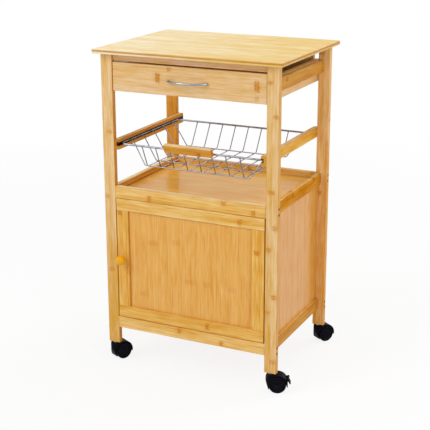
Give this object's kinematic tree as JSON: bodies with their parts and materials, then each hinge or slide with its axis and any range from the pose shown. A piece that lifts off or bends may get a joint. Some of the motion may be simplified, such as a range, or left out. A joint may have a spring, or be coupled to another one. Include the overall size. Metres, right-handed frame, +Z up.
{
  "type": "kitchen trolley",
  "caption": "Bamboo kitchen trolley on swivel casters: worktop, sliding drawer, pull-out wire basket, open tray shelf and a cabinet with a hinged panel door.",
  "frame": {"origin": "on the floor, below the centre of the frame", "axes": "+X to the right seen from the front, +Y to the back (the front faces -Y), +Z up"},
  "size_m": [0.5004, 0.38, 0.76],
  "materials": {
    "bamboo_top": "satin lacquer",
    "bamboo_leg": "satin lacquer",
    "bamboo_rail": "satin lacquer",
    "bamboo_panel": "glossy lacquer",
    "bamboo_drawer": "satin lacquer",
    "knob_wood": "glossy lacquer",
    "basket_chrome": "bright plated wire",
    "handle_chrome": "polished",
    "steel": "zinc plated",
    "catch_plastic": "matt",
    "caster_black": "satin black",
    "wheel_black": "satin black"
  },
  "bodies": {
    "frame": {"worktop": "bamboo_top", "front_left_leg": "bamboo_leg", "front_right_leg": "bamboo_leg", "back_left_leg": "bamboo_leg", "back_right_leg": "bamboo_leg", "front_top_rail": "bamboo_rail", "back_top_rail": "bamboo_rail", "left_drawer_rail": "bamboo_rail", "right_drawer_rail": "bamboo_rail", "drawer_cleats": "bamboo_rail", "left_basket_runner": "bamboo_rail", "right_basket_runner": "bamboo_rail", "tray_front_rail": "bamboo_rail", "tray_back_rail": "bamboo_rail", "tray_left_rail": "bamboo_rail", "tray_right_rail": "bamboo_rail", "tray_panel": "bamboo_panel", "base_front_rail": "bamboo_rail", "base_back_rail": "bamboo_rail", "base_left_rail": "bamboo_rail", "base_right_rail": "bamboo_rail", "base_panel": "bamboo_panel", "left_side_panel": "bamboo_leg", "right_side_panel": "bamboo_leg", "back_panel": "bamboo_panel", "frame_bolts": "steel", "magnet_catch": "catch_plastic", "door_pivot_pins": "steel", "caster_stems": "steel"},
    "door": {"door_left_stile": "bamboo_rail", "door_right_stile": "bamboo_rail", "door_top_rail": "bamboo_rail", "door_bottom_rail": "bamboo_rail", "door_panel": "bamboo_leg", "door_knob": "knob_wood", "catch_plate": "steel"},
    "drawer": {"drawer_front": "bamboo_drawer", "drawer_left_side": "bamboo_drawer", "drawer_right_side": "bamboo_drawer", "drawer_back": "bamboo_drawer", "drawer_bottom": "bamboo_panel", "drawer_handle": "handle_chrome", "drawer_handle_screws": "steel"},
    "basket": {"basket_rim": "basket_chrome", "basket_wires": "basket_chrome", "basket_handle": "bamboo_rail"},
    "front_left_caster": {"front_left_caster_hood": "caster_black"},
    "front_left_wheels": {"front_left_caster_wheels": "wheel_black", "front_left_caster_axle": "steel"},
    "front_right_caster": {"front_right_caster_hood": "caster_black"},
    "front_right_wheels": {"front_right_caster_wheels": "wheel_black", "front_right_caster_axle": "steel"},
    "front_right_brake": {"front_right_brake_pedal": "caster_black"},
    "back_left_caster": {"back_left_caster_hood": "caster_black"},
    "back_left_wheels": {"back_left_caster_wheels": "wheel_black", "back_left_caster_axle": "steel"},
    "back_left_brake": {"back_left_brake_pedal": "caster_black"},
    "back_right_caster": {"back_right_caster_hood": "caster_black"},
    "back_right_wheels": {"back_right_caster_wheels": "wheel_black", "back_right_caster_axle": "steel"}
  },
  "joints": [
    {"name": "drawer_slide", "type": "slide", "parent": "frame", "child": "drawer", "axis": [0, -1, 0], "range_m": [0, 0.23]},
    {"name": "basket_slide", "type": "slide", "parent": "frame", "child": "basket", "axis": [0, -1, 0], "range_m": [0, 0.22]},
    {"name": "door_hinge", "type": "hinge", "parent": "frame", "child": "door", "pos_m": [0.1782, -0.1535, 0.26375], "axis": [0, 0, 1], "range_deg": [0, 110]},
    {"name": "front_left_swivel", "type": "hinge", "parent": "frame", "child": "front_left_caster", "pos_m": [-0.2045, -0.1545, 0.034], "axis": [0, 0, 1], "continuous": true},
    {"name": "front_left_wheel_spin", "type": "hinge", "parent": "front_left_caster", "child": "front_left_wheels", "pos_m": [-0.19746, -0.14126, 0.02], "axis": [0.8829, -0.4695, 0], "continuous": true},
    {"name": "front_right_swivel", "type": "hinge", "parent": "frame", "child": "front_right_caster", "pos_m": [0.2045, -0.1545, 0.034], "axis": [0, 0, 1], "continuous": true},
    {"name": "front_right_wheel_spin", "type": "hinge", "parent": "front_right_caster", "child": "front_right_wheels", "pos_m": [0.21841, -0.14888, 0.02], "axis": [0.3746, -0.9272, 0], "continuous": true},
    {"name": "front_right_brake_hinge", "type": "hinge", "parent": "front_right_caster", "child": "front_right_brake", "pos_m": [0.24126, -0.13965, 0.0315], "axis": [-0.3746, 0.9272, 0], "range_deg": [0, 15]},
    {"name": "back_left_swivel", "type": "hinge", "parent": "frame", "child": "back_left_caster", "pos_m": [-0.2045, 0.1545, 0.034], "axis": [0, 0, 1], "continuous": true},
    {"name": "back_left_wheel_spin", "type": "hinge", "parent": "back_left_caster", "child": "back_left_wheels", "pos_m": [-0.21841, 0.16012, 0.02], "axis": [0.3746, 0.9272, 0], "continuous": true},
    {"name": "back_left_brake_hinge", "type": "hinge", "parent": "back_left_caster", "child": "back_left_brake", "pos_m": [-0.24126, 0.16935, 0.0315], "axis": [-0.3746, -0.9272, 0], "range_deg": [0, 15]},
    {"name": "back_right_swivel", "type": "hinge", "parent": "frame", "child": "back_right_caster", "pos_m": [0.2045, 0.1545, 0.034], "axis": [0, 0, 1], "continuous": true},
    {"name": "back_right_wheel_spin", "type": "hinge", "parent": "back_right_caster", "child": "back_right_wheels", "pos_m": [0.2131, 0.16679, 0.02], "axis": [0.8192, -0.5736, 0], "continuous": true}
  ]
}
